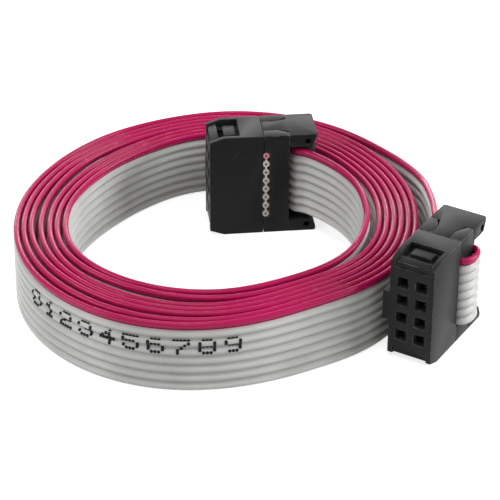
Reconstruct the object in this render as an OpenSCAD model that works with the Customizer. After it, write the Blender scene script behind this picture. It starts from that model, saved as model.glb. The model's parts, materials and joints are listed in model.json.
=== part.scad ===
// Flat ribbon cable of eight wires, wound on edge into a loose spiral,
// with a 2 x 4 insulation-displacement socket on each end.
// All lengths are millimetres. The cable rests on Z = 0.

/* [Ribbon] */
// Spacing of the wires, half that of the pins
wire_pitch = 1.27; // [1.25:0.01:1.3]
// Distance from an edge wire's centre to the ribbon's edge
edge_margin = 0.45; // [0.4:0.01:0.5]
// Thickness of the insulation
ribbon_t = 0.88; // [0.7:0.01:0.9]
// Radius of the fold over the cover, at the middle of the ribbon
fold_r = 1.78; // [1.7:0.01:2]
// Depth of the fold loop, at the middle of the ribbon
fold_out = 1; // [0.9:0.05:1.8]
// Radius of the bend where the ribbon leaves the strain relief
exit_r = 1.9; // [1.6:0.05:2.1]
// Angle of that bend, in degrees
exit_turn = 50; // [35:1:60]

/* [Coil] */
// Growth of the coil's radius with each turn
turn_growth = 0.95; // [0.93:0.01:1.1]
// Angle travelled on the coil before the ribbon leaves it, in degrees
coil_sweep = 2460; // [1740:360:2460]
// Length over which the ribbon comes down from the inner socket
descent = 38; // [32:1:60]
// Length over which the ribbon climbs to the outer socket
climb = 30; // [20:1:34]

/* [Socket] */
// Thickness of the socket across its two rows
socket_t = 6; // [5.9:0.05:6.4]
// Wall beyond the last wire at each end of the socket
end_wall = 2.48; // [2.4:0.01:2.8]
// Height of the socket body from its mating face to the seam
body_h = 7.2; // [7:0.1:8]
// Height of the cover above the seam
cover_h = 3.45; // [3.4:0.05:3.6]
// Height of the strain relief's end blocks above the ribbon
relief_h = 2.85; // [2.6:0.05:3.2]
// Height of the strain relief's bar above the ribbon
bar_h = 2.1; // [2.05:0.05:2.4]
// Length of the taper at the mating end
taper_len = 1.9; // [1:0.1:2.4]
// Depth of the taper at the mating end
taper_in = 0.65; // [0.3:0.05:0.8]
// Length of the polarising key
key_len = 5; // [3:0.1:6]
// Width of the polarising key
key_w = 4.1; // [3:0.1:5]
// Height of the polarising key above the side
key_out = 0.9; // [0.5:0.05:1]
// Height of the strain relief's end blocks
block_w = 1.8; // [1.6:0.05:2.1]
// Width of the strain relief's tongues where they meet its bar
tongue_w = 3.4; // [3:0.1:3.6]
// Width of the tongues at the seam
tongue_tip_w = 2.35; // [2:0.05:2.6]
// Chamfer on the end blocks' far corners
block_chamfer = 0.25; // [0.15:0.05:0.4]
// Diameter of the dimples in the strain relief's end blocks
dimple_d = 0.9; // [0.7:0.05:1]

/* [Latch] */
// Width of the cover's latch legs
leg_w = 4.5; // [4:0.05:4.6]
// Thickness of the cover's latch legs
leg_t = 0.8; // [0.7:0.05:0.9]
// Width of each rail of a latch leg
leg_rail = 0.75; // [0.6:0.05:0.8]
// Depth by which the rails thin where the latch is open to view
rail_thin = 0.35; // [0.2:0.05:0.4]
// Length of the bar that closes a latch leg
leg_bar = 1; // [0.8:0.05:1.2]
// Thickness of the wall that hides a latch leg next to the seam
bridge_t = 0.6; // [0.4:0.05:0.6]
// Length of the wall that hides a latch leg next to the seam
bridge_len = 3.1; // [2.6:0.1:3.2]
// Length of the catch that the latch leg snaps over
catch_len = 1.9; // [1.5:0.1:2]
// Depth of the catch's flat top below the end of the socket
catch_top = 0.4; // [0.3:0.05:0.5]

/* [Contact] */
// Thickness of the contact's sheet
contact_t = 0.3; // [0.25:0.01:0.35]
// Side of a square header pin
pin_w = 0.64; // [0.6:0.01:0.66]
// Side of the pin hole's funnel at the mating face
funnel_w = 1.55; // [1.45:0.05:1.6]
// Side of the pin hole behind the funnel
hole_w = 1.25; // [1.1:0.05:1.3]
// Depth of the funnel
funnel_d = 0.35; // [0.3:0.05:0.6]
// Width of the slot that cuts through the insulation
wire_slot = 0.28; // [0.2:0.01:0.3]
// Width of each tine beside the wire
tine_w = 0.36; // [0.3:0.01:0.38]
// Reach of the tines above the seam
tine_reach = 1.85; // [1.6:0.05:2]

/* [Fits] */
// Clearance between the ribbon or a contact and the plastic
fit = 0.03; // [0.02:0.01:0.05]
// Clearance of a latch leg or a tongue in its channel
latch_gap = 0.1; // [0.05:0.01:0.15]
// Seam left open between the body and the cover
seam_gap = 0.1; // [0.06:0.01:0.12]

/* [Hidden] */
$fn = 32;
eps = 0.01;
wires = 8;
red = [0.70, 0.10, 0.30];
grey = [0.72, 0.72, 0.71];
black = [0.10, 0.10, 0.11];
bronze = [0.80, 0.66, 0.38];

ribbon_w = (wires - 1)*wire_pitch + 2*edge_margin;
socket_w = ribbon_w + 2*end_wall;
ribbon_lift = end_wall;
pin_pitch = 2*wire_pitch;
mid = socket_w/2;
columns = wires/2;
half_t = socket_t/2;
edge_wire_h = wire_pitch/2 + edge_margin;

// The ribbon lies in the seam with its middle just on the cover's side
ribbon_m = -0.34;
seat_m = ribbon_m + ribbon_t/2;
back_m = ribbon_m - 2*fold_r;
relief_m = back_m - ribbon_t/2 - fit;
cover_m = -cover_h;
top_m = relief_m - relief_h;
channel_w = leg_w + 2*latch_gap;
channel_d = bridge_t + leg_t + latch_gap;
leg_z = bridge_t + latch_gap/2;
leg_root_m = -0.8;
leg_end = body_h - 0.2;
catch_w = leg_w - 2*leg_rail - 2*latch_gap;
catch_m = bridge_len + 0.15;
catch_ramp = 0.4;
bar_round = 0.6;
relief_round = exit_r - ribbon_t/2 - fit;
exit_t = 0.6;
bar_half = exit_t + relief_round;
tongue_t = 1.4;
tongue_tip_t = leg_z - latch_gap;
tongue_step_m = leg_root_m - latch_gap;
tongue_waist_m = -2;
tongue_flare = 0.3;
hook_step = 0.35;
hook_z = [0.45, 0.75];
dimple_deep = 0.8;
dimple_m = top_m + 1.25;
dimple_z = block_w - 0.8;
shoulder_m = 1.5;
shoulder_half = 0.62;
chamber_m0 = shoulder_m + 0.1;
chamber_m1 = body_h - 1.2;

// Where each socket's seam centre stands, and the angle its pins face
inner_at = [1.89, 13.59];
inner_yaw = 187;
outer_at = [23.98, -14.58];
outer_yaw = 239.7;
coil_at = [-4.19, -0.09];

// Radius of the first turn at every 30 degrees, before the turns' growth
turn_r = [19.9, 20.55, 21.35, 20.6, 18.7, 17.8, 18.6, 19.7, 19.7, 19.4, 18.8, 20.1];
// Loose places: after this turn, at this angle, half width, extra radius
loose = [[1, 355, 60, 0.6], [1, 285, 60, 0.5], [1, 210, 45, 0.2], [2, 250, 55, 1], [3, 155, 45, 0.2],
         [5, 245, 60, 0.7], [6, 235, 45, 0.4], [5, 185, 50, 0.5], [6, 118, 25, 0.2], [6, 60, 50, 0.4]];
// The way from the inner socket to the coil, and from the coil to the outer socket,
// measured from the coil's middle
lead_in = [[12.1, 11.4], [13.6, 9.9], [15.1, 8.2], [16.6, 6.3], [18.1, 3.9], [19.2, 1.2]];
lead_out = [[17.5, 22.2], [20.7, 19.2], [23.9, 15.2], [26.1, 11.2], [27.5, 7.2], [28.1, 3.2],
            [28.4, -0.8], [28.4, -4.4]];

function turned(p, a) = [p.x*cos(a) - p.y*sin(a), p.x*sin(a) + p.y*cos(a)];
function placed(at, yaw, pts) = [for (p = pts) at + turned(p, yaw)];
function moved(at, pts) = [for (p = pts) at + p];
function bow(c, rm, rt, a0, a1, n) =
    [for (i = [0:n]) let(a = a0 + (a1 - a0)*i/n) c + [rm*cos(a), rt*sin(a)]];
function reversed(l) = [for (i = [len(l) - 1:-1:0]) l[i]];
function around(l, a) =
    let(s = a/30, i = floor(s), f = s - i,
        p = [for (k = [-1:2]) l[(i + k + 12) % 12]])
    p[1] + f/2*(p[2] - p[0] + f*(2*p[0] - 5*p[1] + 4*p[2] - p[3] + f*(3*(p[1] - p[2]) + p[3] - p[0])));
function away(a, b) = (a - b + 540) % 360 - 180;
function turn_of(u, at) = round((u - (360 - at) % 360)/360) + 1;
function slack(u, a) = [for (l = loose)
    let(d = away(a, l[1])) abs(d) < l[2] && turn_of(u, l[1]) > l[0] ? l[3]*pow(cos(90*d/l[2]), 2) : 0];
function total(l, i = 0) = i < len(l) ? l[i] + total(l, i + 1) : 0;
function coil_r(u) = let(a = (3600 - u) % 360) around(turn_r, a) + turn_growth*u/360 + total(slack(u, a));
function coil_pt(u) = coil_at + coil_r(u)*[cos(-u), sin(-u)];

// The ribbon inside a socket: cut end, across the seam, over the cover and out
side_path = concat(
    [[ribbon_m, half_t], [ribbon_m, 0]],
    bow([ribbon_m - fold_r, -half_t - fit], fold_r, fold_out, 0, -180, 12),
    [[back_m, 0]],
    bow([back_m - exit_r, exit_t], exit_r, exit_r, 0, exit_turn, 4));
mirrored_path = [for (p = side_path) [p.x, -p.y]];
inner_path = placed(inner_at, inner_yaw, side_path);
outer_path = reversed(placed(outer_at, outer_yaw, mirrored_path));

function blend(p, f) = p[1] + f/2*(p[2] - p[0]
    + f*(2*p[0] - 5*p[1] + 4*p[2] - p[3] + f*(3*(p[1] - p[2]) + p[3] - p[0])));
function smooth(l) = [for (i = [1:len(l) - 3]) for (f = [0, 0.5])
    if (i > 1 || f > 0) blend([l[i - 1], l[i], l[i + 1], l[i + 2]], f)];

coil_step = 7.5;
n_in = len(inner_path);
n_out = len(outer_path);
coil = [for (u = [coil_step:coil_step:coil_sweep]) coil_pt(u)];
n_coil = len(coil);
way_in = smooth(concat([inner_path[n_in - 2], inner_path[n_in - 1]], moved(coil_at, lead_in),
                       [coil[0], coil[1]]));
way_out = smooth(concat([coil[n_coil - 2], coil[n_coil - 1]], moved(coil_at, lead_out),
                        [outer_path[0], outer_path[1]]));
route = concat(inner_path, way_in, coil, way_out, outer_path);
n = len(route);
function along(i, s = [0]) = i < n ? along(i + 1, concat(s, [s[i - 1] + norm(route[i] - route[i - 1])])) : s;
dist = along(1);
way_start = dist[n_in - 1];
way_end = dist[n - n_out];
function ease(x) = (1 + cos(180*min(max(x, 0), 1)))/2;
lift = [for (s = dist) ribbon_lift*max(ease((s - way_start)/descent), ease((way_end - s)/climb))];
function side(i) =
    let(a = i > 0 ? route[i] - route[i - 1] : route[1] - route[0],
        b = i < n - 1 ? route[i + 1] - route[i] : a,
        u = a/norm(a), v = b/norm(b), m = (u + v)/norm(u + v))
    [-m.y, m.x]/(m*v);
sides = [for (i = [0:n - 1]) side(i)];
down = [for (i = [0:n - 1]) if (dist[i] >= way_start + descent && dist[i] <= way_end - climb) i];
first_down = down[0];
last_down = down[len(down) - 1];

function edge(i, s) = route[i] + s*ribbon_t/2*sides[i];

// A stretch of the ribbon at one height, from its level z0 up to z1
module level_strip(i0, i1, z0, z1) {
    translate([0, 0, lift[i0] + z0])
        linear_extrude(z1 - z0)
            polygon(concat([for (i = [i0:i1]) edge(i, 1)], [for (i = [i1:-1:i0]) edge(i, -1)]));
}

// A stretch of the ribbon that climbs or comes down
module sloping_strip(i0, i1, z0, z1) {
    rings = i1 - i0;
    corners = [for (i = [i0:i1]) for (c = [[-1, z0], [1, z0], [1, z1], [-1, z1]])
        [edge(i, c.x).x, edge(i, c.x).y, lift[i] + c.y]];
    walls = [for (r = [0:rings - 1]) for (k = [0:3])
        [4*r + k, 4*r + (k + 1) % 4, 4*(r + 1) + (k + 1) % 4, 4*(r + 1) + k]];
    polyhedron(corners, concat([[3, 2, 1, 0]], walls, [[for (k = [0:3]) 4*rings + k]]));
}

// The ribbon between two of its levels: its two ends, and the coil between them
module inner_end(z0, z1) {
    difference() {
        sloping_strip(0, first_down, z0, z1);
        at_inner() tine_cuts();
    }
}

module outer_end(z0, z1) {
    difference() {
        sloping_strip(last_down, n - 1, z0, z1);
        at_outer() tine_cuts();
    }
}

module coil(z0, z1) { level_strip(first_down, last_down, z0, z1); }

module at_inner() { translate([inner_at.x, inner_at.y, 0]) rotate([0, 0, inner_yaw]) children(); }
module at_outer() { translate([outer_at.x, outer_at.y, 0]) rotate([0, 0, outer_yaw]) children(); }

// Wire k, column and row of its contact: the first row is on the key's side
function wire_z(k) = mid + wire_pitch*((wires - 1)/2 - k);
function column_z(k) = mid + pin_pitch*((columns - 1)/2 - floor(k/2));
function row_t(k) = pin_pitch/2*(k % 2 == 0 ? -1 : 1);
function fork_half() = wire_slot/2 + tine_w;

// Slots that the tines cut through the insulation, beside each conductor
module tine_cuts() {
    for (k = [0:wires - 1])
        for (s = [-1, 1])
            translate([ribbon_m - ribbon_t/2 - eps, row_t(k) - contact_t/2 - fit,
                       wire_z(k) + s*(wire_slot/2 + tine_w/2) - tine_w/2 - fit])
                cube([ribbon_t + 2*eps, contact_t + 2*fit, tine_w + 2*fit]);
}

// Both ends of a socket: the far end mirrors the near one
module both_ends() {
    children();
    translate([0, 0, socket_w]) mirror([0, 0, 1]) children();
}

// An outline in the plane of the mating direction and the height, made thick across the rows
module slab(thick, t = 0) {
    translate([0, t + thick/2, 0]) rotate([90, 0, 0]) linear_extrude(thick) children();
}

module block(m0, m1, wide, z0, z1) {
    translate([m0, -wide/2, z0]) cube([m1 - m0, wide, z1 - z0]);
}

module ribbon_channel(m0, m1) {
    block(m0, m1, socket_t + 2, ribbon_lift - fit, ribbon_lift + ribbon_w + fit);
}

// Moulded body with its pin holes, contact chambers and latch channels
module socket_body() {
    color(black) difference() {
        union() {
            slab(socket_t) polygon([[0, 0], [body_h - taper_len, 0], [body_h, taper_in],
                [body_h, socket_w - taper_in], [body_h - taper_len, socket_w], [0, socket_w]]);
            key();
        }
        ribbon_channel(-1, seat_m + fit);
        both_ends() {
            block(-1, bridge_len + eps, channel_w, bridge_t, channel_d);
            block(bridge_len, body_h + 1, channel_w, -1, channel_d);
        }
        for (k = [0:wires - 1]) {
            translate([0, row_t(k), column_z(k)]) pin_way();
            slab(contact_t + 2*fit, row_t(k)) {
                translate([-1, column_z(k) - shoulder_half - fit])
                    square([chamber_m0 + 1 + fit, 2*(shoulder_half + fit)]);
                translate([-1, wire_z(k) - fork_half() - fit])
                    square([chamber_m0 + 1 + fit, 2*(fork_half() + fit)]);
            }
        }
    }
    color(black) both_ends() slab(catch_w) polygon([[catch_m, channel_d], [catch_m, leg_z + leg_t/2],
        [catch_m + catch_ramp, catch_top], [catch_m + catch_len, catch_top], [catch_m + catch_len, channel_d]]);
}

// One pin's way: chamber, square hole and funnel
module pin_way() {
    translate([chamber_m0, -funnel_w/2, -funnel_w/2]) cube([chamber_m1 - chamber_m0, funnel_w, funnel_w]);
    translate([chamber_m1 - eps, -hole_w/2, -hole_w/2]) cube([body_h - chamber_m1, hole_w, hole_w]);
    translate([body_h - funnel_d, 0, 0]) rotate([0, 90, 0])
        linear_extrude(funnel_d + eps, scale = (funnel_w + 2*eps)/hole_w) square(hole_w, center = true);
}

// Polarising key, flush with the mating face
module key() {
    translate([body_h - key_len, -half_t - key_out, mid - key_w/2]) cube([key_len, key_out + eps, key_w]);
}

// Cover that presses the ribbon on the forks, with its two latch legs
module cover() {
    color(black) difference() {
        block(cover_m, -seam_gap, socket_t, 0, socket_w);
        ribbon_channel(ribbon_m - ribbon_t/2 - fit, 1);
        both_ends() {
            translate([0, 0, -1]) linear_extrude(tongue_tip_t + latch_gap + 1) tongue_slot(1);
            translate([0, 0, -1]) linear_extrude(tongue_t + latch_gap + 1) tongue_slot(tongue_step_m);
        }
        for (k = [0:wires - 1])
            slab(contact_t + 2*fit, row_t(k))
                translate([-tine_reach - fit, wire_z(k) - fork_half() - fit])
                    square([tine_reach, 2*(fork_half() + fit)]);
    }
    color(black) both_ends() leg();
}

// Outline of the cover's slot for a tongue, up to m1: it flares where the tongue enters it
module tongue_slot(m1) {
    polygon(mirrored_outline([[m1, tongue_tip_w/2 + latch_gap], [tongue_waist_m, tongue_tip_w/2 + latch_gap],
        [cover_m - eps, tongue_w/2 + latch_gap + tongue_flare]]));
}

function mirrored_outline(pts) = concat(pts, [for (p = reversed(pts)) [p.x, -p.y]]);

function taper_z(m) = taper_in*max(m - body_h + taper_len, 0)/taper_len;

// One latch leg: two rails joined by a bar that sits past the catch
module leg() {
    open_m = bridge_len + latch_gap;
    bar_m = leg_end - leg_bar;
    difference() {
        slab(leg_w) polygon([[leg_root_m, leg_z], [bridge_len - rail_thin, leg_z], [open_m, leg_z + rail_thin],
            [bar_m, leg_z + rail_thin], [bar_m, taper_z(bar_m) + 2*latch_gap],
            [leg_end, taper_z(leg_end) + 2*latch_gap], [leg_end, leg_z + leg_t], [leg_root_m, leg_z + leg_t]]);
        block(open_m, bar_m, leg_w - 2*leg_rail, -1, leg_z + leg_t + 1);
    }
}

// Strain relief: bar over the folded ribbon, end blocks, and tongues held in the cover
module strain_relief() {
    color(black) difference() {
        union() {
            translate([relief_m - bar_h, 0, block_w - eps])
                linear_extrude(socket_w - 2*block_w + 2*eps) bar_outline();
            both_ends() {
                intersection() {
                    slab(socket_t) polygon([[cover_m - fit, 0], [cover_m - fit, block_w],
                        [relief_m - bar_h, block_w], [top_m + hook_step, hook_z[1]], [top_m, hook_z[0]], [top_m, 0]]);
                    linear_extrude(block_w + 1) polygon(mirrored_outline([[cover_m, half_t],
                        [top_m + block_chamfer, half_t], [top_m, half_t - block_chamfer]]));
                }
                linear_extrude(tongue_tip_t) tongue(-seam_gap);
                linear_extrude(tongue_t) tongue(tongue_step_m - latch_gap);
            }
        }
        both_ends() for (s = [-1, 1])
            translate([dimple_m, s*half_t, dimple_z]) rotate([90, 0, 0])
                cylinder(d = dimple_d, h = 2*dimple_deep, center = true);
    }
}

// Outline of a tongue that ends at m1, wider where it leaves the end block
module tongue(m1) {
    polygon(mirrored_outline([[m1, tongue_tip_w/2], [tongue_waist_m, tongue_tip_w/2],
        [cover_m - fit - eps, tongue_w/2]]));
}

// Outline of the bar: round on the ribbon's side, with smaller far corners
module bar_outline() {
    hull() for (s = [-1, 1]) {
        translate([bar_round, s*(bar_half - bar_round)]) circle(bar_round);
        translate([bar_h - relief_round, s*exit_t]) circle(relief_round);
    }
}

// Outline of one contact in the plane of the mating direction and the height, with the pin at 0
// and the wire above it: a fork that straddles the wire, a shoulder, and twin beams for the pin
function tine(s) = [for (p = [[0.3, fork_half()], [0.4 - tine_reach, fork_half()],
    [-tine_reach, wire_slot/2 + 0.26], [-tine_reach, wire_slot/2 + 0.2],
    [0.5 - tine_reach, wire_slot/2], [0.6, wire_slot/2]]) [p.x, wire_pitch/2 + s*p.y]];
function beam(s) = let(tip = body_h - 1.4, grip = pin_w/2 - 0.04)
    [for (p = [[shoulder_m + 0.4, shoulder_half], [tip - 0.6, grip + 0.24], [tip, grip + 0.36],
        [tip, grip + 0.14], [tip - 0.6, grip], [tip - 0.9, grip],
        [shoulder_m + 0.4, grip + 0.14], [shoulder_m, grip + 0.06]]) [p.x, s*p.y]];
contact_outline = concat([[0.3, -shoulder_half]], tine(-1), reversed(tine(1)),
    [[shoulder_m, wire_pitch/2 + fork_half()], [shoulder_m, shoulder_half]], beam(1), reversed(beam(-1)));

module contact(k) {
    up = wire_z(k) > column_z(k) ? 1 : -1;
    color(bronze) slab(contact_t, row_t(k))
        polygon([for (p = contact_outline) [p.x, column_z(k) + up*p.y]]);
}

grey_top = ribbon_w - edge_wire_h;
module grey_wires_coil() { color(grey) coil(0, grey_top); }
module grey_wires_inner_end() { color(grey) inner_end(0, grey_top); }
module grey_wires_outer_end() { color(grey) outer_end(0, grey_top); }
module red_wire_coil() { color(red) coil(grey_top, ribbon_w); }
module red_wire_inner_end() { color(red) inner_end(grey_top, ribbon_w); }
module red_wire_outer_end() { color(red) outer_end(grey_top, ribbon_w); }

grey_wires_coil();
grey_wires_inner_end();
grey_wires_outer_end();
red_wire_coil();
red_wire_inner_end();
red_wire_outer_end();
at_inner() socket_body();  // inner_socket_body
at_inner() cover();  // inner_cover
at_inner() strain_relief();  // inner_strain_relief
at_outer() socket_body();  // outer_socket_body
at_outer() cover();  // outer_cover
at_outer() strain_relief();  // outer_strain_relief
for (k = [0:wires - 1])
    at_inner() contact(k);
for (k = [0:wires - 1])
    at_outer() contact(k);
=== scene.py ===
import bpy
import json
import math
from math import cos, sin, pi, radians

from mathutils import Matrix, Vector

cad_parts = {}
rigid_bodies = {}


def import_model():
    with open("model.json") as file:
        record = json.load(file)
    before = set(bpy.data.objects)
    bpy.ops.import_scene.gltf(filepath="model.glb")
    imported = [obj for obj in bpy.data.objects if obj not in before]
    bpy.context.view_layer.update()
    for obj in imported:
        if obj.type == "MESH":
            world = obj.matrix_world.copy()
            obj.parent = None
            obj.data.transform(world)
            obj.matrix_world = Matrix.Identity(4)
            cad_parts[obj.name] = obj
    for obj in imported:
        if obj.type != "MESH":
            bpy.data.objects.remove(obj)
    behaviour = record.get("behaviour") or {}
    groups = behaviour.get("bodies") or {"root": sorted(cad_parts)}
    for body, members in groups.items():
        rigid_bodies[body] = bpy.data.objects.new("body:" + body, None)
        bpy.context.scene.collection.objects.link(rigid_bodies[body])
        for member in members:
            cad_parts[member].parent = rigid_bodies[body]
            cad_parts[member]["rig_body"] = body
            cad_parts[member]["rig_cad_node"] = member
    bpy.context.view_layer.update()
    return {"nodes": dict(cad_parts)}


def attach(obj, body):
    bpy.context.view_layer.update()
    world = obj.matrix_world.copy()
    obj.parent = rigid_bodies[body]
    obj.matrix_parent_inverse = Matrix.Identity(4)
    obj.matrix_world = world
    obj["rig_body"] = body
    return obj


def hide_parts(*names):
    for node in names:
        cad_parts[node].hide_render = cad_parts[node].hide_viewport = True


bl_info = {
    "name": "Coiled ribbon cable",
    "version": (1, 0, 0),
    "blender": (4, 5, 0),
    "location": "View3D > Sidebar > Cable",
    "description": "Dresses a coiled eight-way ribbon cable and its two sockets",
    "category": "Object",
}

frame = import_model()
MM = 0.001
WHITE = (1, 1, 1, 1)

# Sizes and places below are in millimetres and degrees, as the part has them

# Ribbon: wires, their pitch, an edge wire's middle to the ribbon's edge, thickness and width
WIRES = 8
PITCH = 1.27
MARGIN = 0.45
THICK = 0.88
RIBBON_W = (WIRES - 1) * PITCH + 2 * MARGIN
# Thickness of the red wire, as a share of a grey one's
RED_SHARE = 0.92
# Angle, in radians, and half width of the low flash where the ribbon was slit at its edge
FLASH_TURN = 0.16
FLASH_HALF = 0.03

# Sockets: where each seam's centre stands, and the angle that its pins face
INNER_AT = (1.89, 13.59)
INNER_YAW = 187.0
OUTER_AT = (23.98, -14.58)
OUTER_YAW = 239.7
# Middle of the seam along the mating direction, half thickness, height of the ribbon's lower edge
SEAM_M = -0.34
HALF_T = 3.0
LIFT = 2.48
# Fold over the cover: its radius, how far it stands out, and its clearance
FOLD_R = 1.78
FOLD_OUT = 1.0
FIT = 0.03
# Bend behind the strain relief: its radius, its angle, and its middle across the socket
EXIT_R = 1.9
EXIT_TURN = 50
EXIT_T = 0.6

# Coil: its middle, what its radius gains in a turn, and how far it winds in all
COIL_AT = (-4.19, -0.09)
GROWTH = 0.95
SWEEP = 2460
# Radius of the first turn at every 30 degrees, without the gain
TURN_R = (19.9, 20.55, 21.35, 20.6, 18.4, 17.75, 18.6, 19.7, 19.7, 19.4, 18.8, 20.1)
# Loose places: after this turn, at this angle, half width, extra radius
LOOSE = ((1, 355, 60, 0.6), (1, 285, 60, 0.5), (1, 210, 45, 0.2), (2, 250, 55, 1.0), (3, 138, 45, 0.7),
         (3, 180, 45, 0.2), (4, 185, 45, 0.3), (5, 245, 60, 0.65), (6, 235, 45, 0.4), (6, 118, 25, 0.2),
         (6, 60, 50, 0.4))
# Leaning places, where the lower edge stands farther out: at this angle, half width, how far
LEANS = ((98, 48, 1.0), (305, 38, 0.6))
# Lengths over which the ribbon comes down from the inner socket and climbs to the outer one
DESCENT = 38
CLIMB = 30
# Ways between the sockets and the coil, from the coil's middle
LEAD_IN = ((12.1, 11.8), (13.8, 10.5), (15.4, 9.0), (16.9, 7.2), (18.3, 4.8), (19.3, 1.7))
LEAD_OUT = ((17.5, 22.2), (20.7, 19.2), (23.9, 15.2), (26.1, 11.2), (27.5, 7.2), (28.1, 3.2),
            (28.4, -0.8), (28.4, -4.4))
# Degrees between the coil's points, degrees from its start to its first point and from each end point
# to the one that steers a lead, and how many points a lead has for each one that is given
COIL_STEP = 2.5
COIL_KNOT = 7.5
LEAD_STEPS = 4

# Strands at a cut: radius, radius of their ring and thickness, then radius and thickness of the dark
# disc of painted shade that shows between them
STRAND_R = 0.058
STRAND_RING = 0.127
STRAND_T = 0.12
STRAND_SHADE_R = 0.185
STRAND_SHADE_T = 0.104
# How deep the middle of a disc lies behind the cut
CUT_SINK = 0.05

# Print: height of its top dots on the ribbon, steps between dots, and a dot's radius and thickness
PRINT_TOP = 7.22
DOT_ALONG = 0.44
DOT_DOWN = 0.27
DOT_R = 0.225
DOT_T = 0.07
# Least bulge of the ribbon under a dot, and how far from a ridge's middle a dot still follows its slope
GROOVE_OUT = 0.2
SLOPE_HALF = 0.38
# Plain counting figures from nought to nine, each as seven rows of five dots
FIGURES = (
    "01110 10001 10001 10001 10001 10001 01110",
    "00100 01100 00100 00100 00100 00100 01110",
    "01110 10001 00001 00110 01000 10000 11111",
    "01110 10001 00001 00110 00001 10001 01110",
    "00010 00110 01010 10010 11111 00010 00010",
    "11111 10000 11110 00001 00001 10001 01110",
    "01110 10000 11110 10001 10001 10001 01110",
    "11111 00001 00010 00100 00100 01000 01000",
    "01110 10001 10001 01110 10001 10001 01110",
    "01110 10001 10001 01111 00001 00001 01110",
)

# The part's moulded nodes
HOUSINGS = [side + moulding for side in ("inner_", "outer_")
            for moulding in ("socket_body", "cover", "strain_relief")]

# Stage: what the camera looks at, where it stands from there, and how far it leans
TARGET = (0.51, 5.91, 0.0)
EYE = (0.0, -271.66, 164.38)
ROLL = 0.46
# Softboxes: name, compass angle, height angle, distance, width and height in metres, brightness
SOFTBOXES = (
    ("left", 198, 26, 0.5, 0.30, 0.24, 4.2),
    ("right", 0, 25, 0.5, 0.30, 0.24, 10.5),
    ("front", 243, 74, 0.6, 0.36, 0.26, 3.1),
    ("back", 92, 32, 0.6, 0.70, 0.42, 1.2),
    ("rim", 92, 17, 0.6, 0.70, 0.03, 12.0),
)


# The ribbon's route


def turned(p, yaw):
    c, s = cos(radians(yaw)), sin(radians(yaw))
    return (p[0] * c - p[1] * s, p[0] * s + p[1] * c)


def moved(at, points):
    return [(at[0] + p[0], at[1] + p[1]) for p in points]


def placed(at, yaw, points):
    return moved(at, [turned(p, yaw) for p in points])


def bow(centre, along, across, start, stop, steps):
    """Points on an oval arc."""
    angles = [radians(start + (stop - start) * i / steps) for i in range(steps + 1)]
    return [(centre[0] + along * cos(a), centre[1] + across * sin(a)) for a in angles]


def cubic(p, f):
    """Value between p[1] and p[2] on the smooth curve through four values."""
    return p[1] + f / 2 * (p[2] - p[0] + f * (2 * p[0] - 5 * p[1] + 4 * p[2] - p[3]
                                              + f * (3 * (p[1] - p[2]) + p[3] - p[0])))


def smooth(points, steps):
    """Points between the second and the last but one on the smooth curve through them all."""
    out = []
    for i in range(1, len(points) - 2):
        four = points[i - 1:i + 3]
        for k in range(steps):
            if i > 1 or k > 0:
                out.append(tuple(cubic([p[c] for p in four], k / steps) for c in (0, 1)))
    return out


def coil_radius(u):
    """Radius of the coil after u degrees of travel, clockwise from +X."""
    angle = -u % 360
    i = int(angle // 30)
    radius = cubic([TURN_R[(i + k) % 12] for k in (-1, 0, 1, 2)], angle / 30 - i) + GROWTH * u / 360
    for after, at, half, extra in LOOSE:
        off = (angle - at + 180) % 360 - 180
        turn = math.floor((u - (360 - at) % 360) / 360 + 0.5) + 1
        if abs(off) < half and turn > after:
            radius += extra * cos(pi / 2 * off / half) ** 2
    return radius


def coil_lean(u):
    """How far the lower edge stands out after u degrees of travel."""
    lean = 0.0
    for at, half, most in LEANS:
        off = (-u - at + 180) % 360 - 180
        if abs(off) < half:
            lean += most * cos(pi / 2 * off / half) ** 2
    return lean


def coil_point(u):
    r = coil_radius(u)
    return (COIL_AT[0] + r * cos(radians(u)), COIL_AT[1] - r * sin(radians(u)))


def socket_path():
    """The ribbon's way inside a socket, in the socket's own mating and side directions."""
    back = SEAM_M - 2 * FOLD_R
    half_way = HALF_T / 2
    return ([(SEAM_M, HALF_T), (SEAM_M, half_way), (SEAM_M, 0), (SEAM_M, -half_way)]
            + bow((SEAM_M - FOLD_R, -HALF_T - FIT), FOLD_R, FOLD_OUT, 0, -180, 24)
            + [(back, -half_way), (back, 0)]
            + bow((back - EXIT_R, EXIT_T), EXIT_R, EXIT_R, 0, EXIT_TURN, 8))


def ease(share):
    """Falls smoothly from 1 to 0."""
    return (1 + cos(pi * min(max(share, 0), 1))) / 2


def ribbon_route():
    """Middle line of the ribbon in the plane, its height above the surface, its run and its lean."""
    inner = placed(INNER_AT, INNER_YAW, socket_path())
    outer = placed(OUTER_AT, OUTER_YAW, [(m, -t) for m, t in socket_path()])[::-1]
    count = int((SWEEP - COIL_KNOT) / COIL_STEP) + 1
    travel = [COIL_KNOT + COIL_STEP * i for i in range(count)]
    coil = [coil_point(u) for u in travel]
    near, far = coil_point(2 * COIL_KNOT), coil_point(SWEEP - COIL_KNOT)
    way_in = smooth([inner[-3], inner[-1], *moved(COIL_AT, LEAD_IN), coil[0], near], LEAD_STEPS)
    way_out = smooth([far, coil[-1], *moved(COIL_AT, LEAD_OUT), outer[0], outer[2]], LEAD_STEPS)
    line = inner + way_in + coil + way_out + outer
    run = [0.0]
    for a, b in zip(line, line[1:]):
        run.append(run[-1] + math.dist(a, b))
    start = run[len(inner) - 1]
    stop = run[len(line) - len(outer)]
    lift = [LIFT * max(ease((s - start) / DESCENT), ease((stop - s) / CLIMB)) for s in run]
    before = len(inner) + len(way_in)
    after = len(way_out) + len(outer)
    lean = [0.0] * before + [coil_lean(u) for u in travel] + [0.0] * after
    return line, lift, run, lean


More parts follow.
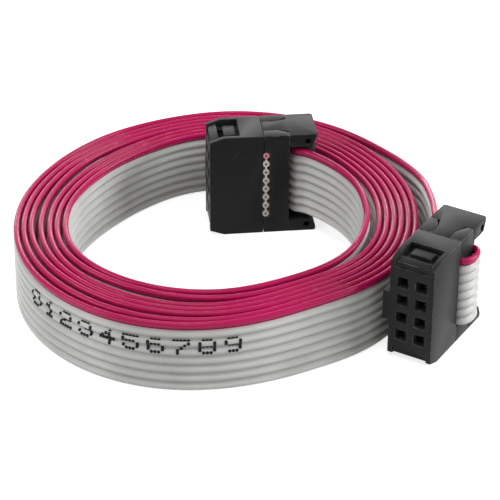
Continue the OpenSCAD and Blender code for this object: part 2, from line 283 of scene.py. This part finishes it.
def line_sides(line):
    """Unit side directions, lengthened at a corner so that the strip keeps its width."""
    sides = []
    for i in range(len(line)):
        a = Vector(line[i]) - Vector(line[max(i - 1, 0)])
        b = Vector(line[min(i + 1, len(line) - 1)]) - Vector(line[i])
        a = (a if a.length > 0 else b).normalized()
        b = (b if b.length > 0 else a).normalized()
        ahead = (a + b).normalized()
        sides.append(Vector((-ahead.y, ahead.x)) / max(ahead.dot(b), 0.5))
    return sides


LINE, RISE, RUN, LEAN = ribbon_route()
SIDES = line_sides(LINE)
CABLE_LENGTH = RUN[-1]


# The wires


def wire_height(k):
    """Height of wire k's middle above the ribbon's lower edge; wire 0 is the red one, on top."""
    return RIBBON_W - MARGIN - PITCH * k


def ribbon_point(i, out, height):
    """Place at step i of the route, out from the ribbon's middle and above its lower edge, in metres."""
    out += LEAN[i] * (1 - height / RIBBON_W)
    return ((LINE[i][0] + SIDES[i].x * out) * MM, (LINE[i][1] + SIDES[i].y * out) * MM,
            (RISE[i] + height) * MM)


def wire_section(k, web, steps=9):
    """Outline of one wire across the ribbon, as pairs of sideways and up: a round ridge each
    side, half a web to each neighbour, and a low flash where the ribbon was slit at its edge."""
    radius = THICK / 2
    meet = math.asin(web / radius)
    top_web = k > 0
    bottom_web = k < WIRES - 1
    high = pi / 2 - (meet if top_web else FLASH_TURN)
    low = -pi / 2 + (meet if bottom_web else FLASH_TURN)
    angles = [low + (high - low) * i / steps for i in range(steps + 1)]
    right = [(web, -PITCH / 2)] if bottom_web else [(FLASH_HALF, -MARGIN)]
    right += [(radius * cos(t), radius * sin(t)) for t in angles]
    right += [(web, PITCH / 2)] if top_web else [(FLASH_HALF, MARGIN)]
    share = RED_SHARE if k == 0 else 1
    return [(a * share, b) for a, b in right + [(-a, b) for a, b in reversed(right)]]


def wire_mesh(k, web):
    outline = wire_section(k, web)
    n = len(outline)
    last = len(LINE) - 1
    points = [ribbon_point(i, a, wire_height(k) + b) for i in range(len(LINE)) for a, b in outline]
    faces = []
    for i in range(last):
        for j in range(n):
            q = (j + 1) % n
            faces.append((i * n + j, i * n + q, (i + 1) * n + q, (i + 1) * n + j))
    faces.append(tuple(range(n))[::-1])
    faces.append(tuple(last * n + j for j in range(n)))
    return points, faces


def ridge_face(along, height):
    """Place and outward direction on the ribbon's outer face, at a run length and a height above its
    lower edge."""
    i = next(j for j, r in enumerate(RUN) if r > along) - 1
    f = (along - RUN[i]) / (RUN[i + 1] - RUN[i])
    p = Vector(LINE[i]).lerp(Vector(LINE[i + 1]), f)
    side = SIDES[i].lerp(SIDES[i + 1], f).normalized()
    k = min(max(round((RIBBON_W - MARGIN - height) / PITCH), 0), WIRES - 1)
    off = height - wire_height(k)
    radius = THICK / 2
    bulge = math.sqrt(max(radius ** 2 - off ** 2, GROOVE_OUT ** 2))
    bulge += (LEAN[i] + f * (LEAN[i + 1] - LEAN[i])) * (1 - height / RIBBON_W)
    place = Vector((p.x + side.x * bulge, p.y + side.y * bulge, height))
    tilt = off / radius if abs(off) < SLOPE_HALF else 0.0
    flat = math.sqrt(1 - tilt ** 2)
    return place, Vector((side.x * flat, side.y * flat, tilt))


# Materials


class Term:
    """A shader value with arithmetic: each operation adds one Math node."""

    def __init__(self, nodes, socket):
        self.nodes = nodes
        self.socket = socket

    def _math(self, operation, a, b):
        node = self.nodes.node("ShaderNodeMath", {"operation": operation}, {0: a, 1: b})
        return Term(self.nodes, node.outputs[0])

    def __add__(self, other):
        return self._math("ADD", self, other)

    def __radd__(self, other):
        return self._math("ADD", other, self)

    def __mul__(self, other):
        return self._math("MULTIPLY", self, other)

    def __rmul__(self, other):
        return self._math("MULTIPLY", other, self)


class Nodes:
    """The nodes of a material or of the world: every node comes from one method."""

    def __init__(self, tree):
        self.tree = tree
        self.tree.nodes.clear()

    def link(self, source, target):
        self.tree.links.new(source, target)

    def node(self, kind, settings, values):
        node = self.tree.nodes.new(kind)
        for key, value in settings.items():
            setattr(node, key, value)
        for key, value in values.items():
            if isinstance(value, Term):
                value = value.socket
            if isinstance(value, bpy.types.NodeSocket):
                self.link(value, node.inputs[key])
            else:
                node.inputs[key].default_value = value
        return node

    def backdrop_rays(self):
        """1 for the rays that see the background: from the camera, or by way of gloss or glass."""
        rays = self.node("ShaderNodeLightPath", {}, {}).outputs
        either = rays["Is Camera Ray"]
        for other in ("Is Glossy Ray", "Is Transmission Ray"):
            most = self.node("ShaderNodeMath", {"operation": "MAXIMUM"}, {0: either, 1: rays[other]})
            either = most.outputs[0]
        return either


class Finish(Nodes):
    """A material with one Principled shader, whose patterns lie on Object coordinates."""

    def __init__(self, name, fixed):
        self.material = bpy.data.materials.new(name)
        self.material.use_nodes = True
        super().__init__(self.material.node_tree)
        self.output = self.node("ShaderNodeOutputMaterial", {}, {})
        self.shader = self.node("ShaderNodeBsdfPrincipled", {}, fixed)
        self.link(self.shader.outputs[0], self.output.inputs["Surface"])
        self.coords = self.node("ShaderNodeTexCoord", {}, {}).outputs["Object"]

    def noise(self, scale, detail=3.0, roughness=0.5, stretch=None):
        where = self.coords
        if stretch:
            where = self.node("ShaderNodeMapping", {}, {"Vector": where, "Scale": stretch}).outputs[0]
        node = self.node("ShaderNodeTexNoise", {}, {"Vector": where, "Scale": scale,
                                                    "Detail": detail, "Roughness": roughness})
        return Term(self, node.outputs["Fac"])

    def band(self, value, low, high):
        """0 below low, 1 above high and smooth between."""
        node = self.node("ShaderNodeMapRange", {"interpolation_type": "SMOOTHSTEP"},
                         {"Value": value, "From Min": low, "From Max": high})
        return Term(self, node.outputs[0])

    def mix(self, mask, a, b):
        """Colour from a to b as the mask goes from 0 to 1; sockets 6 and 7 are the node's colours."""
        node = self.node("ShaderNodeMix", {"data_type": "RGBA"}, {0: mask, 6: a, 7: b})
        return node.outputs[2]

    def bump(self, height, strength, distance):
        node = self.node("ShaderNodeBump", {}, {"Height": height, "Strength": strength,
                                                "Distance": distance})
        self.link(node.outputs[0], self.shader.inputs["Normal"])

    def colour(self, socket):
        self.link(socket, self.shader.inputs["Base Color"])

    def roughness(self, value):
        self.link(value.socket, self.shader.inputs["Roughness"])


def rgba(colour, gain=1.0):
    return (colour[0] * gain, colour[1] * gain, colour[2] * gain, 1.0)


def vinyl_finish(name, colour):
    """Soft extruded vinyl: faint clouding, handling marks and a fine drawn grain."""
    f = Finish(name, {"IOR": 1.5, "Specular IOR Level": 0.1, "Coat Weight": 0.2, "Coat Roughness": 0.12})
    cloud = f.noise(140.0, 3.0)
    smear = f.band(f.noise(420.0, 4.0, 0.6), 0.52, 0.72)
    base = f.mix(f.band(cloud, 0.3, 0.7), rgba(colour, 0.93), rgba(colour, 1.05))
    f.colour(f.mix(smear * 0.25, base, rgba(colour, 0.8)))
    f.roughness(0.18 + smear * 0.12 + cloud * 0.08)
    f.bump(f.noise(2600.0, 4.0, 0.6), 0.12, 0.00005)
    return f.material


def plastic_finish(name, colour, wear_and_highlight, wear_and_highlight_from):
    """Glass-filled black moulding: fine spark-eroded grain, and pale patches from a noise mask: scuffs on
    the faces, and on the rounded edges rubbing together with a painted highlight.
    """
    f = Finish(name, {"IOR": 1.5, "Specular IOR Level": 0.13, "Sheen Weight": 0.06, "Sheen Roughness": 0.5})
    # On the rounded edges this mask lays a painted highlight along with the rubbing
    rub_and_highlight = f.band(f.noise(900.0, 5.0, 0.65), wear_and_highlight_from, wear_and_highlight_from + 0.15)
    speck = f.band(f.noise(5200.0, 2.0, 0.7), 0.66, 0.74)
    f.colour(f.mix(f.band(rub_and_highlight + speck * 0.6, 0.0, 1.0), rgba(colour), rgba(wear_and_highlight)))
    f.roughness(0.46 + rub_and_highlight * 0.14)
    grain = f.noise(7000.0, 3.0, 0.6) + f.noise(1500.0, 2.0) * 0.4
    f.bump(grain, 0.25, 0.00003)
    return f.material


def metal_finish(name, colour, roughness):
    """Stamped and plated metal with rolling streaks."""
    f = Finish(name, {"Metallic": 1.0})
    streak = f.noise(900.0, 3.0, 0.6, stretch=(1.0, 1.0, 6.0))
    f.colour(f.mix(f.band(streak, 0.35, 0.7), rgba(colour, 0.8), rgba(colour, 1.1)))
    f.roughness(roughness + streak * 0.15)
    f.bump(streak, 0.1, 0.00002)
    return f.material


def flat_finish(name, colour, roughness=0.6):
    """Cut vinyl or ink: dull, with a fine mottling."""
    f = Finish(name, {"Roughness": roughness, "Specular IOR Level": 0.15})
    f.colour(f.mix(f.band(f.noise(2500.0, 3.0), 0.35, 0.65), rgba(colour, 0.88), rgba(colour, 1.08)))
    return f.material


def floor_finish(name, colour, white):
    """A dull floor that keeps the shadow and looks white, and lights the object only as its colour does."""
    f = Finish(name, {"Base Color": rgba(colour), "Roughness": 0.9, "Specular IOR Level": 0.1})
    glow = f.node("ShaderNodeEmission", {}, {"Color": WHITE, "Strength": white})
    both = f.node("ShaderNodeAddShader", {}, {0: f.shader.outputs[0], 1: glow.outputs[0]})
    seen = f.node("ShaderNodeMixShader", {}, {0: f.backdrop_rays(), 1: f.shader.outputs[0],
                                             2: both.outputs[0]})
    f.link(seen.outputs[0], f.output.inputs["Surface"])
    return f.material


def studio_world(fill):
    """Even light from all around, and white where the background is seen."""
    world = bpy.data.worlds.new("studio")
    world.use_nodes = True
    sky = Nodes(world.node_tree)
    lit = sky.node("ShaderNodeBackground", {}, {"Color": WHITE, "Strength": fill})
    seen = sky.node("ShaderNodeBackground", {}, {"Color": WHITE, "Strength": 1.0})
    either = sky.node("ShaderNodeMixShader", {}, {0: sky.backdrop_rays(), 1: lit.outputs[0],
                                                  2: seen.outputs[0]})
    sky.node("ShaderNodeOutputWorld", {}, {"Surface": either.outputs[0]})
    return world


# Settings that the sidebar shows


class CableLook(bpy.types.PropertyGroup):
    grey: bpy.props.FloatVectorProperty(
        name="Grey wires", description="Colour of the plain wires' vinyl",
        default=(0.55, 0.55, 0.535), subtype="COLOR", min=0, max=1)
    red: bpy.props.FloatVectorProperty(
        name="Red wire", description="Colour of the edge wire that marks the first pin",
        default=(0.43, 0.004, 0.085), subtype="COLOR", min=0, max=1)
    cut: bpy.props.FloatVectorProperty(
        name="Cut grey", description="Colour of the grey vinyl where it is cut",
        default=(0.68, 0.62, 0.54), subtype="COLOR", min=0, max=1)
    red_cut: bpy.props.FloatVectorProperty(
        name="Cut red", description="Colour of the red vinyl where it is cut",
        default=(0.75, 0.30, 0.40), subtype="COLOR", min=0, max=1)
    copper: bpy.props.FloatVectorProperty(
        name="Strands", description="Colour of the wires' strands",
        default=(0.24, 0.13, 0.09), subtype="COLOR", min=0, max=1)
    # Painted shade: the dark disc's colour stands in for the shade between the cut strands
    strand_shade: bpy.props.FloatVectorProperty(
        name="Strand gaps", description="Colour between the strands where they are cut",
        default=(0.06, 0.035, 0.03), subtype="COLOR", min=0, max=1)
    ink: bpy.props.FloatVectorProperty(
        name="Ink", description="Colour of the printed dots",
        default=(0.012, 0.011, 0.013), subtype="COLOR", min=0, max=1)
    web: bpy.props.FloatProperty(
        name="Web", description="Half thickness of the web between two wires",
        default=0.13 * MM, unit="LENGTH", min=0.05 * MM, max=0.3 * MM)
    figures: bpy.props.IntProperty(
        name="Figures", description="How many printed figures the outermost turn carries",
        default=10, min=1, max=40)
    print_start: bpy.props.FloatProperty(
        name="Print start", description="Length of ribbon from the inner socket to the first figure",
        default=961 * MM, unit="LENGTH", min=200 * MM, max=1000 * MM)
    print_step: bpy.props.FloatProperty(
        name="Print step", description="Length of ribbon from one figure to the next",
        default=3.13 * MM, unit="LENGTH", min=2.8 * MM, max=9 * MM)


class SocketLook(bpy.types.PropertyGroup):
    plastic: bpy.props.FloatVectorProperty(
        name="Moulding", description="Colour of the black mouldings",
        default=(0.009, 0.009, 0.0095), subtype="COLOR", min=0, max=1)
    scuffed: bpy.props.FloatVectorProperty(
        name="Scuffed faces", description="Colour of the black mouldings where their faces are scuffed",
        default=(0.0225, 0.0225, 0.02375), subtype="COLOR", min=0, max=1)
    # Pale colour on the rounded edges: partly rubbing, partly a painted highlight along them
    rubbed_and_highlit: bpy.props.FloatVectorProperty(
        name="Rubbed and highlit edges", description="Colour of the black mouldings where their edges are rubbed",
        default=(0.2, 0.2, 0.195), subtype="COLOR", min=0, max=1)
    # The contacts' colour is the plating's grey darkened with painted shade from the pin holes
    metal: bpy.props.FloatVectorProperty(
        name="Contacts", description="Colour of the plated contacts",
        default=(0.26, 0.24, 0.21), subtype="COLOR", min=0, max=1)
    edge: bpy.props.FloatProperty(
        name="Edge", description="Width of the rounded edges of the mouldings",
        default=0.08 * MM, unit="LENGTH", min=0.0, max=0.2 * MM)


class StageLook(bpy.types.PropertyGroup):
    lens: bpy.props.FloatProperty(
        name="Lens", description="Focal length for a 36 mm sensor",
        default=170.1, min=20, max=400)
    floor: bpy.props.FloatVectorProperty(
        name="Floor", description="Colour of the floor",
        default=(0.62, 0.62, 0.62), subtype="COLOR", min=0, max=1)
    background: bpy.props.FloatProperty(
        name="Background", description="White that the floor adds where it is seen",
        default=0.75, min=0.0, max=1.0)
    fill: bpy.props.FloatProperty(
        name="Fill", description="Even light from all around",
        default=0.32, min=0.0, max=1.0)


# Modelling that the operators share


def select_only(pieces):
    bpy.ops.object.select_all(action="DESELECT")
    for piece in pieces:
        piece.select_set(True)
    bpy.context.view_layer.objects.active = pieces[0]


def stamped(name, radius, depth, sides, spots, material):
    """One object of many like discs, each with its place and the direction that it faces."""
    bpy.ops.object.select_all(action="DESELECT")
    bpy.ops.mesh.primitive_cylinder_add(vertices=sides, radius=radius * MM, depth=depth * MM)
    disc = bpy.context.object
    copies = []
    for place, facing in spots:
        copy = disc.copy()
        copy.data = disc.data.copy()
        turn = facing.to_track_quat("Z", "Y").to_matrix().to_4x4()
        copy.matrix_world = Matrix.Translation(place * MM) @ turn
        bpy.context.scene.collection.objects.link(copy)
        copies.append(copy)
    bpy.data.objects.remove(disc)
    select_only(copies)
    bpy.ops.object.join()
    bpy.ops.object.transform_apply(location=True, rotation=True, scale=True)
    piece = bpy.context.object
    piece.name = name
    piece.data.materials.clear()
    piece.data.materials.append(material)
    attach(piece, "root")


# Operators, one for each group of like pieces


class CABLE_OT_ribbon(bpy.types.Operator):
    """Make the eight joined wires along the ribbon's route"""
    bl_idname = "cable.ribbon"
    bl_label = "Ribbon wires"

    def execute(self, context):
        look = context.scene.cable_look
        grey = vinyl_finish("grey_vinyl", look.grey)
        red = vinyl_finish("red_vinyl", look.red)
        grey_cut = flat_finish("grey_cut", look.cut)
        red_cut = flat_finish("red_cut", look.red_cut)
        wires = [("red_wire", "red_wire", "red_insulation", red, red_cut)]
        for k in range(1, WIRES):
            wires.append(("grey_wire_%d" % k, "grey_wires", "grey_insulation", grey, grey_cut))
        for k, (name, node, slot, vinyl, cut) in enumerate(wires):
            points, faces = wire_mesh(k, look.web / MM)
            mesh = bpy.data.meshes.new(name)
            mesh.from_pydata(points, [], faces)
            mesh.materials.append(vinyl)
            mesh.materials.append(cut)
            mesh.shade_smooth()
            for cap in mesh.polygons[-2:]:
                cap.material_index = 1
                cap.use_smooth = False
            piece = bpy.data.objects.new(name, mesh)
            context.scene.collection.objects.link(piece)
            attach(piece, "root")
            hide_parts(node + "_coil", node + "_inner_end", node + "_outer_end")
            path = [ribbon_point(i, 0, wire_height(k)) for i in range(len(LINE))]
            CABLE_LENGTH * MM
        return {"FINISHED"}


class CABLE_OT_strands(bpy.types.Operator):
    """Show the seven strands of every wire where the ribbon is cut at the sockets, over a dark disc of
    painted shade
    """
    bl_idname = "cable.strands"
    bl_label = "Cut strands"

    def execute(self, context):
        look = context.scene.cable_look
        copper = metal_finish("cut_copper", look.copper, 0.35)
        # The disc behind the strands is painted shade for the hollows between them
        shade = flat_finish("strand_shade", look.strand_shade, 0.7)
        for name, tip, before in (("inner", LINE[0], LINE[1]), ("outer", LINE[-1], LINE[-2])):
            out = (Vector(tip) - Vector(before)).normalized().to_3d()
            across = Vector((-out.y, out.x, 0.0))
            strands, shades = [], []
            for k in range(WIRES):
                middle = Vector((tip[0], tip[1], LIFT + wire_height(k))) - out * CUT_SINK
                shades.append((middle, out))
                strands.append((middle, out))
                for i in range(6):
                    turn = i * pi / 3 + k
                    spot = across * cos(turn) + Vector((0, 0, sin(turn)))
                    strands.append((middle + spot * STRAND_RING, out))
            # The dark discs are painted shade between the strands
            stamped(name + "_strand_shade", STRAND_SHADE_R, STRAND_SHADE_T, 20, shades, shade)
            stamped(name + "_strands", STRAND_R, STRAND_T, 10, strands, copper)
        return {"FINISHED"}


class CABLE_OT_figures(bpy.types.Operator):
    """Print plain counting figures in dots along the outermost turn"""
    bl_idname = "cable.figures"
    bl_label = "Printed figures"

    def execute(self, context):
        look = context.scene.cable_look
        ink = flat_finish("ink", look.ink)
        dots = []
        for n in range(look.figures):
            start = (look.print_start - n * look.print_step) / MM
            for row, bits in enumerate(FIGURES[n % len(FIGURES)].split()):
                for column, bit in enumerate(bits):
                    if bit == "1":
                        dots.append(ridge_face(start - column * DOT_ALONG, PRINT_TOP - row * DOT_DOWN))
        stamped("printed_figures", DOT_R, DOT_T, 8, dots, ink)
        return {"FINISHED"}


class CABLE_OT_housings(bpy.types.Operator):
    """Give the moulded socket parts their rounded edges and grained black finish"""
    bl_idname = "cable.housings"
    bl_label = "Socket mouldings"

    def execute(self, context):
        look = context.scene.socket_look
        black = plastic_finish("black_moulding", look.plastic, look.scuffed, 0.58)
        # The rounded edges get a pale colour that is partly rubbing and partly a painted highlight
        rubbed_and_highlit = plastic_finish("rubbed_and_highlit_edge", look.plastic, look.rubbed_and_highlit, 0.42)
        for node in HOUSINGS:
            piece = frame["nodes"][node].copy()
            piece.data = piece.data.copy()
            piece.name = node + "_moulded"
            piece.parent = None
            context.scene.collection.objects.link(piece)
            # The copy is a piece of the scene and not the CAD node, so it drops the node's marks
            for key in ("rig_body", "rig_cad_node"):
                if key in piece:
                    del piece[key]
            piece.data.materials.clear()
            piece.data.materials.append(black)
            piece.data.materials.append(rubbed_and_highlit)
            select_only([piece])
            bpy.ops.object.mode_set(mode="EDIT")
            bpy.ops.mesh.select_all(action="SELECT")
            bpy.ops.mesh.remove_doubles(threshold=0.002 * MM)
            bpy.ops.mesh.dissolve_limited(angle_limit=radians(1.0))
            bpy.ops.object.mode_set(mode="OBJECT")
            bevel = piece.modifiers.new("edge", "BEVEL")
            bevel.width = look.edge
            bevel.segments = 2
            bevel.limit_method = "ANGLE"
            bevel.angle_limit = radians(30)
            # The bevel's faces take that second material with its painted edge highlight
            bevel.material = 1
            bpy.ops.object.modifier_apply(modifier="edge")
            bpy.ops.object.shade_smooth_by_angle(angle=radians(35))
            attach(piece, "root")
            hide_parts(node)
        return {"FINISHED"}


class CABLE_OT_contacts(bpy.types.Operator):
    """Give the contacts their plated finish, darkened as painted shade for the pin holes that hold them"""
    bl_idname = "cable.contacts"
    bl_label = "Contacts"

    def execute(self, context):
        look = context.scene.socket_look
        # The darkened colour paints the shade of the pin holes onto the contacts
        metal = metal_finish("plated_bronze_with_shade", look.metal, 0.3)
        for name, node in frame["nodes"].items():
            if "contact" in name:
                node.data.materials.clear()
                node.data.materials.append(metal)
        return {"FINISHED"}


class CABLE_OT_stage(bpy.types.Operator):
    """Set up the floor, the lights and the camera"""
    bl_idname = "cable.stage"
    bl_label = "Stage"

    def execute(self, context):
        look = context.scene.stage_look
        scene = context.scene
        bpy.ops.object.select_all(action="DESELECT")
        bpy.ops.mesh.primitive_plane_add(size=3.0, location=(0, 0, -0.02 * MM))
        floor = context.object
        floor.name = "floor"
        floor.data.materials.append(floor_finish("floor_white", look.floor, look.background))
        scene.world = studio_world(look.fill)

        for name, compass, up, far, wide, high, bright in SOFTBOXES:
            light = bpy.data.lights.new(name, "AREA")
            light.shape = "RECTANGLE"
            light.size = wide
            light.size_y = high
            light.energy = bright * pi * wide * high
            lamp = bpy.data.objects.new(name, light)
            lamp.location = (far * cos(radians(compass)) * cos(radians(up)),
                             far * sin(radians(compass)) * cos(radians(up)), far * sin(radians(up)))
            lamp.rotation_euler = (-lamp.location).to_track_quat("-Z", "Y").to_euler()
            scene.collection.objects.link(lamp)

        target = Vector(TARGET) * MM
        eye = target + Vector(EYE) * MM
        camera = bpy.data.objects.new("camera", bpy.data.cameras.new("camera"))
        camera.data.lens = look.lens
        camera.data.sensor_width = 36.0
        camera.data.clip_end = 20.0
        turn = (target - eye).to_track_quat("-Z", "Y").to_matrix().to_4x4()
        camera.matrix_world = Matrix.Translation(eye) @ turn @ Matrix.Rotation(radians(ROLL), 4, "Z")
        scene.collection.objects.link(camera)
        scene.camera = camera
        scene.view_settings.view_transform = "Standard"
        return {"FINISHED"}


class CABLE_PT_panel(bpy.types.Panel):
    bl_idname = "CABLE_PT_panel"
    bl_label = "Ribbon cable"
    bl_space_type = "VIEW_3D"
    bl_region_type = "UI"
    bl_category = "Cable"

    def draw(self, context):
        for group, kind in GROUPS.items():
            for key in kind.__annotations__:
                self.layout.prop(getattr(context.scene, group), key)
        for operator in OPERATORS:
            self.layout.operator(operator.bl_idname)


OPERATORS = (CABLE_OT_stage, CABLE_OT_ribbon, CABLE_OT_strands, CABLE_OT_figures, CABLE_OT_housings,
             CABLE_OT_contacts)
GROUPS = {"cable_look": CableLook, "socket_look": SocketLook, "stage_look": StageLook}


def register():
    for key, group in GROUPS.items():
        bpy.utils.register_class(group)
        setattr(bpy.types.Scene, key, bpy.props.PointerProperty(type=group))
    for operator in OPERATORS:
        bpy.utils.register_class(operator)
    bpy.utils.register_class(CABLE_PT_panel)


def unregister():
    bpy.utils.unregister_class(CABLE_PT_panel)
    for operator in reversed(OPERATORS):
        bpy.utils.unregister_class(operator)
    for key, group in GROUPS.items():
        delattr(bpy.types.Scene, key)
        bpy.utils.unregister_class(group)


def main():
    register()
    bpy.ops.cable.stage()
    bpy.ops.cable.ribbon()
    bpy.ops.cable.strands()
    bpy.ops.cable.figures()
    bpy.ops.cable.housings()
    bpy.ops.cable.contacts()


if __name__ == "__main__":
    main()
